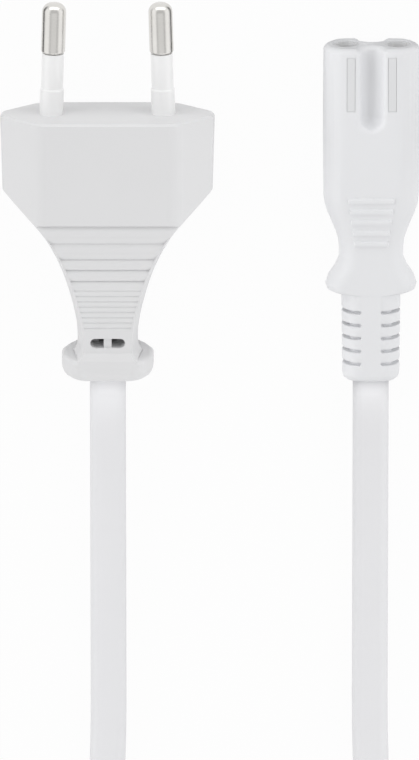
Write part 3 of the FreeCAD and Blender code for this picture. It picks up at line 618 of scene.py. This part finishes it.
def roundFront(shape, settings):
    # The front edge draws in a little more than in the solid, outside the sockets
    front, _, middle = frontAndMiddle("connector_body")

    def amountAt(place):
        back = (front - place.y) / (settings["frontLength"] * mm)
        fromSocket = math.hypot(abs(place.x) - settings["socketHalf"] * mm, place.z - middle)
        if back > 1 or fromSocket < settings["socketRadius"] * mm:
            return 0
        return settings["frontRound"] * mm * (1 - back) ** 2

    drawIn(shape, amountAt)


def liftBars(shape, settings):
    # The grip bars on the upper side stand prouder, and their front sides slope up
    front = frontAndMiddle("connector_body")[0]
    for i in range(settings["barCount"]):
        near = front - (settings["barFirst"] + i * settings["barPitch"] - settings["barLength"] / 2) * mm
        far = near - settings["barLength"] * mm
        for edge, slope in ((near, settings["barSlope"]), (far, 0)):
            line = [vert for vert in shape.verts if abs(vert.co.y - edge) < onPlane * mm
                    and abs(vert.co.x) < settings["barHalfWidth"] * mm]
            top = max(vert.co.z for vert in line)
            for vert in line:
                share = 1 - (top - vert.co.z) / (settings["barHeight"] * mm)
                if share > 0:
                    vert.co.z += settings["barLift"] * mm * share
                    vert.co.y -= slope * mm * share


def squeezeWings(shape, settings):
    # The rear of the wings closes within a shorter stretch than in the solid
    rear = frontAndMiddle("connector_body")[0] - settings["wingEnd"] * mm
    start = rear + settings["wingSqueeze"] * mm
    for vert in shape.verts:
        if rear - onPlane * mm < vert.co.y < start:
            vert.co.y = start + (vert.co.y - start) * settings["wingShare"]


def onSlotLip(edge, lip, middle, settings):
    # A convex edge in the plane of the lip, outside the core that the slots stop at
    for vert in edge.verts:
        inCore = (abs(vert.co.x) < settings["lipInside"] * mm
                  and abs(vert.co.z - middle) < settings["lipInsideHeight"] * mm)
        if inCore or abs(vert.co.y - lip) > onPlane * mm:
            return False
    return (len(edge.link_faces) == 2 and edge.is_convex
            and edge.calc_face_angle() > math.radians(settings["lipAngle"]))


def softenSlots(shape, settings):
    # The rear lip of each slot slopes up into the boot
    front, _, middle = frontAndMiddle("connector_body")
    for i in range(settings["slotCount"]):
        back = settings["slotFirst"] + i * settings["slotPitch"] + settings["slotLength"] / 2
        edges = [edge for edge in shape.edges if onSlotLip(edge, front - back * mm, middle, settings)]
        bevelEdges(shape, edges, settings["lipRound"], settings["lipSegments"])


def shapeConnector(shape):
    roundFront(shape, connectorShape)
    liftBars(shape, connectorShape)
    squeezeWings(shape, connectorShape)
    softenSlots(shape, connectorShape)
    print("connector softened")


def cutFlange(shape, front, place, direction, settings):
    # One cut through the flange alone, for the points that its softer form needs
    rear = front - settings["flangeDepth"] * mm
    faces = [face for face in shape.faces
             if all(rear < vert.co.y < front + onPlane * mm for vert in face.verts)]
    edges = list(dict.fromkeys(edge for face in faces for edge in face.edges))
    verts = list(dict.fromkeys(vert for face in faces for vert in face.verts))
    bmesh.ops.bisect_plane(shape, geom=verts + edges + faces, dist=settings["cutGap"] * mm,
                           plane_co=place, plane_no=direction)


def clearCorners(shape, front, across, middle, settings):
    # The flange's round corners run through to the neck's flare
    corner = settings["cornerRadius"] * mm
    for cut in settings["cornerCuts"]:
        for hand in hands.values():
            cutFlange(shape, front, (across + hand * cut * mm, 0, 0), xAxis, settings)
    start, end = front - settings["cornerStart"] * mm, front - settings["cornerEnd"] * mm
    for vert in shape.verts:
        aside = abs(vert.co.x - across) - settings["cornerAt"] * mm
        if end < vert.co.y < start and 0 < aside < corner:
            top = settings["cornerTop"] * mm - corner + math.sqrt(corner ** 2 - aside ** 2)
            if abs(vert.co.z - middle) > top:
                vert.co.z = middle + math.copysign(top, vert.co.z - middle)


def roundRim(shape, front, across, settings):
    # The flange's front rim is a soft quarter round beside the neck
    radius = settings["rimRound"] * mm
    for step in range(1, settings["rimSteps"] + 1):
        turn = math.pi / 2 * step / settings["rimSteps"]
        cutFlange(shape, front, (0, front - radius * (1 - math.cos(turn)), 0), yAxis, settings)

    def amountAt(place):
        back = front - place.y
        if not -onPlane * mm < back < radius:
            return 0
        aside = abs(place.x - across) / mm - settings["rimFrom"]
        fill = 1 - math.sqrt(max(1 - (1 - max(back, 0) / radius) ** 2, 0))
        return radius * fill * easeInOut(aside / (settings["rimFull"] - settings["rimFrom"]))

    drawIn(shape, amountAt)


def shapePlug(shape):
    pinFace, across, middle = frontAndMiddle("plug_body")
    front = pinFace - plugShape["flangeFront"] * mm
    clearCorners(shape, front, across, middle, plugShape)
    roundRim(shape, front, across, plugShape)
    print("flange softened")


def shapeCarrier(shape):
    # The ribs narrow upwards, which leaves a fine dark line round them in the housing's windows
    middle = frontAndMiddle("contact_carrier")[2]
    taper = carrierShape["ribTaper"] * mm
    for side in hands.values():
        for up in (-1, 1):
            top = [vert for vert in shape.verts
                   if up * (vert.co.z - middle) > carrierShape["ribTop"] * mm and side * vert.co.x > 0]
            centre = sum((vert.co for vert in top), Vector()) / len(top)
            for vert in top:
                for axis in (0, 1):
                    reach = vert.co[axis] - centre[axis]
                    if abs(reach) > taper:
                        vert.co[axis] -= math.copysign(taper, reach)


connector = finishedCopy("connector_body", "connectorHousing", plastics["connector"], housingFinish,
                         shapeConnector)
joinLead(connector, "connector_pvc", "connector_body")
carrier = finishedCopy("contact_carrier", "contactCarrier", plastics["carrier"], housingFinish, shapeCarrier)
joinLead(carrier, "carrier_plastic", "contact_carrier")
plug = finishedCopy("plug_body", "plugHousing", plastics["plug"], housingFinish, shapePlug)
joinLead(plug, "plug_pvc", "plug_body")
print("housings finished")


# Pins turned from one profile each, and the sleeves moulded on them

pinSettings = {
    "spacingFace": 18.6,
    "spacingTip": 17.5,
    "length": 19.0,  # places along the pin are counted from the plug's face
    "radius": 2.0,
    "domeRadius": 1.5,
    "domeSteps": 8,
    "bareLength": 8.6,
    "rearRound": 0.35,
    "rearSteps": 3,
    "gap": 0.12,  # between the bare end and its sleeve
    "waistRadius": 1.45,
    "flangeFront": -7.0,
    "flangeBack": -8.0,
    "flangeRadius": 2.2,
    "cupRadius": 1.6,
    "cupEnd": -13.0,
    "cupFloor": -9.0,
    "boreRadius": 0.56,
    "turns": 72,
}

sleeveSettings = {
    "radius": 1.83,
    "collarRadius": 1.98,
    "collarLength": 4.45,
    "collarSlope": 0.25,
    "inner": 1.45,
    "back": -3.0,
}

turnedFinish = {"weld": 0.002, "sharpAngle": 24.0, "round": 0.06, "segments": 2}


def pinProfile(settings):
    # Radius and place along the pin, from the middle of the dome to the floor of the crimp cup
    tip, radius = settings["length"], settings["radius"]
    dome, rear = settings["domeRadius"], settings["rearRound"]
    bareEnd = tip - settings["bareLength"] + settings["gap"]
    profile = [(0.0, tip)]
    for step in range(settings["domeSteps"] + 1):
        angle = math.radians(90 * step / settings["domeSteps"])
        profile.append((radius - dome + dome * math.sin(angle), tip - dome + dome * math.cos(angle)))
    for step in range(settings["rearSteps"] + 1):
        angle = math.radians(90 * step / settings["rearSteps"])
        profile.append((radius - rear + rear * math.cos(angle), bareEnd + rear - rear * math.sin(angle)))
    return profile + [
        (settings["waistRadius"], bareEnd),
        (settings["waistRadius"], settings["flangeFront"]),
        (settings["flangeRadius"], settings["flangeFront"]),
        (settings["flangeRadius"], settings["flangeBack"]),
        (settings["cupRadius"], settings["flangeBack"]),
        (settings["cupRadius"], settings["cupEnd"]),
        (settings["boreRadius"], settings["cupEnd"]),
        (settings["boreRadius"], settings["cupFloor"]),
        (0.0, settings["cupFloor"]),
    ]


def sleeveProfile(settings, pin):
    # Closed: up the outside from the back of the collar, and down the bore
    top = pin["length"] - pin["bareLength"]
    return [
        (settings["inner"], settings["back"]),
        (settings["collarRadius"], settings["back"]),
        (settings["collarRadius"], settings["collarLength"] - settings["collarSlope"]),
        (settings["radius"], settings["collarLength"]),
        (settings["radius"], top),
        (settings["inner"], top),
        (settings["inner"], settings["back"]),
    ]


def turnedPiece(name, profile, hand, pin, material, finish):
    # The profile spun round +Y, its sharp rims rounded, then leaned and set in the plug's face
    shape = bmesh.new()
    verts = [shape.verts.new((radius * mm, along * mm, 0)) for radius, along in profile]
    edges = [shape.edges.new(pair) for pair in zip(verts, verts[1:])]
    bmesh.ops.spin(shape, geom=verts + edges, cent=(0, 0, 0), axis=yAxis, angle=math.tau,
                   steps=pin["turns"], use_merge=True, use_duplicate=False)
    bmesh.ops.remove_doubles(shape, verts=shape.verts, dist=finish["weld"] * mm)
    bmesh.ops.recalc_face_normals(shape, faces=shape.faces)
    roundEdges(shape, finish)
    front, across, middle = frontAndMiddle("plug_body")
    foot = Vector((across + hand * pin["spacingFace"] / 2 * mm, front, middle))
    lean = math.atan2((pin["spacingFace"] - pin["spacingTip"]) / 2, pin["length"])
    bmesh.ops.rotate(shape, verts=shape.verts, cent=(0, 0, 0), matrix=Matrix.Rotation(hand * lean, 3, "Z"))
    bmesh.ops.translate(shape, verts=shape.verts, vec=foot)
    piece = newPiece(name, shape, material)
    evenShading(piece)
    return piece


metalPins = []
pinSleeves = []
for side, hand in hands.items():
    pin = turnedPiece(side + "Pin", pinProfile(pinSettings), hand, pinSettings, metals["pin"], turnedFinish)
    joinLead(pin, "pin_nickel", "pin_" + side)
    sleeve = turnedPiece(side + "PinSleeve", sleeveProfile(sleeveSettings, pinSettings), hand, pinSettings,
                         plastics["sleeve"], turnedFinish)
    joinLead(sleeve, "sleeve_plastic", "pin_sleeve_" + side)
    metalPins.append(pin)
    pinSleeves.append(sleeve)
print("pins turned")


# Inner pieces keep their solids and get their finish

innerFinishes = {
    "contact": metals["contact"],
    "connector_wire": plastics["insulation"],
    "connector_conductor": metals["copper"],
    "plug_wire": plastics["insulation"],
    "plug_conductor": metals["copper"],
}


def finishNode(node, material):
    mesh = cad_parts[node].data
    mesh.materials.clear()
    mesh.materials.append(material)


for kind, material in innerFinishes.items():
    for side in hands:
        finishNode(kind + "_" + side, material)
finishNode("pin_bridge", plastics["carrier"])

innerPlugNodes = ["pin_bridge"]
for side in hands:
    innerPlugNodes += ["plug_wire_" + side, "plug_conductor_" + side]

# Each lamp's part of the lead

plugPlastics = [plug] + pinSleeves + [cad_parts[node] for node in innerPlugNodes]
litPieces = {
    "plastics": [connector, carrier, cord, floor] + plugPlastics,
    "connectorEnd": [connector, carrier],
    "plugEnd": plugPlastics + metalPins + [floor],
    "pinEnds": metalPins,
    "cordEnd": [cord],
}
for part, pieces in litPieces.items():
    for piece in pieces:
        litParts[part].objects.link(piece)
print("lamps linked")
